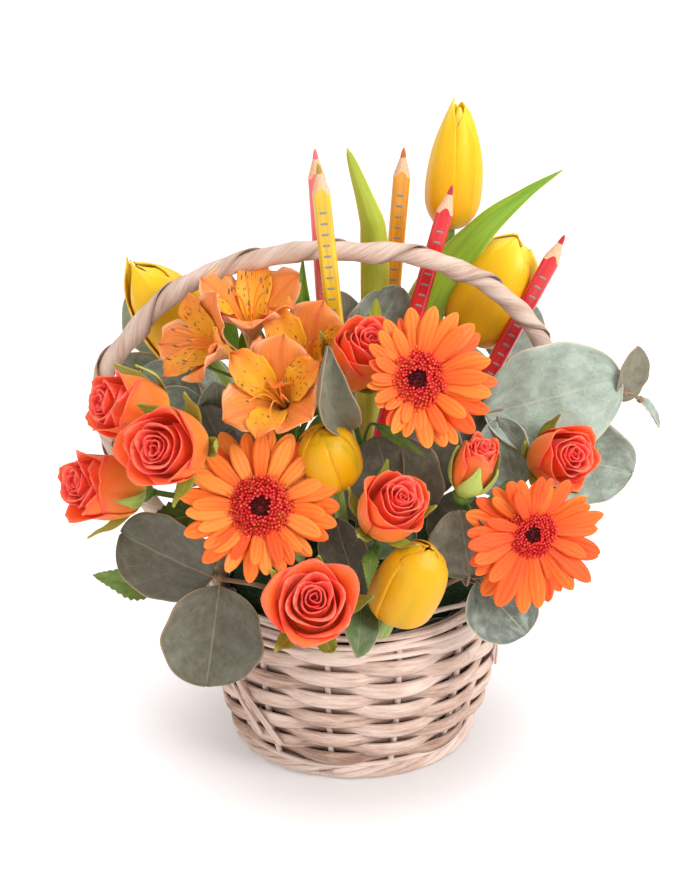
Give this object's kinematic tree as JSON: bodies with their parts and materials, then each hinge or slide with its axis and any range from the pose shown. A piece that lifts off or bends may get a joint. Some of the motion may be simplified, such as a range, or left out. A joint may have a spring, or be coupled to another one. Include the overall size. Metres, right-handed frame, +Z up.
{
  "type": "flower basket arrangement",
  "caption": "Round woven willow basket with a hoop handle, filled with orange and yellow cut flowers, round-leaved foliage and coloured pencils in floral foam.",
  "frame": {"origin": "centre of the basket's underside", "axes": "+Z up, -Y towards the front seen in the picture, +X to the viewer's right; the handle's hoop stands in the XZ plane"},
  "size_m": [0.269, 0.2053, 0.2948],
  "materials": {
    "willow": "whitewashed split willow, matt, fine lengthwise grain",
    "film": "thin wrinkled film",
    "foam": "wet floral foam, fine open cells",
    "green_stem": "fresh green stems, cups and leaves, satin",
    "tulip_leaf": "long waxy leaf, satin, parallel veins",
    "eucalyptus": "round leaves with a whitish bloom on brown twigs, matt",
    "rose_petal": "soft velvety petals, coral orange",
    "gerbera_petal": "satin ray petals, orange",
    "gerbera_florets": "fine tubular florets, crimson with a dark centre",
    "tulip_petal": "waxy petals, yellow",
    "alstroemeria_petal": "waxy petals, orange with dark dashes",
    "pencil_coral": "painted wood, satin",
    "pencil_yellow": "painted wood, satin",
    "pencil_orange": "painted wood, satin",
    "pencil_red": "painted wood, satin",
    "pencil_red_right": "painted wood, satin"
  },
  "bodies": {
    "root": {"basket_base": "willow", "basket_foot": "willow", "basket_wall": "willow", "basket_rim": "willow", "basket_handle": "willow", "rose_left_top": "rose_petal", "rose_left_low": "rose_petal", "rose_left_front": "rose_petal", "rose_back": "rose_petal", "rose_middle": "rose_petal", "rose_front": "rose_petal", "rose_right": "rose_petal", "rose_bud": "rose_petal", "rose_spray_left": "green_stem", "rose_spray_back": "green_stem", "rose_spray_middle": "green_stem", "rose_spray_front": "green_stem", "rose_spray_right": "green_stem", "tulip_upper_right_head": "tulip_petal", "tulip_upper_right_stem": "green_stem", "tulip_right_head": "tulip_petal", "tulip_right_stem": "green_stem", "tulip_left_head": "tulip_petal", "tulip_left_stem": "green_stem", "tulip_middle_head": "tulip_petal", "tulip_middle_stem": "green_stem", "tulip_low_head": "tulip_petal", "tulip_low_stem": "green_stem", "tulip_leaf_upright": "tulip_leaf", "pencil_coral": "pencil_coral", "pencil_yellow": "pencil_yellow", "pencil_orange": "pencil_orange", "pencil_red": "pencil_red", "pencil_red_right": "pencil_red_right", "gerbera_left_petals": "gerbera_petal", "gerbera_left_centre": "gerbera_florets", "gerbera_left_stem": "green_stem", "gerbera_top_petals": "gerbera_petal", "gerbera_top_centre": "gerbera_florets", "gerbera_top_stem": "green_stem", "gerbera_right_petals": "gerbera_petal", "gerbera_right_centre": "gerbera_florets", "gerbera_right_stem": "green_stem", "alstroemeria_front": "alstroemeria_petal", "alstroemeria_right": "alstroemeria_petal", "alstroemeria_back": "alstroemeria_petal", "alstroemeria_left": "alstroemeria_petal", "alstroemeria_spray": "green_stem", "eucalyptus_right": "eucalyptus", "eucalyptus_front_right": "eucalyptus", "eucalyptus_middle": "eucalyptus", "eucalyptus_front_left": "eucalyptus", "eucalyptus_left": "eucalyptus", "eucalyptus_folded": "eucalyptus", "eucalyptus_low_front": "eucalyptus", "eucalyptus_back": "eucalyptus", "eucalyptus_back_left": "eucalyptus", "eucalyptus_back_right": "eucalyptus", "liner": "film", "floral_foam": "foam"}
  },
  "joints": []
}
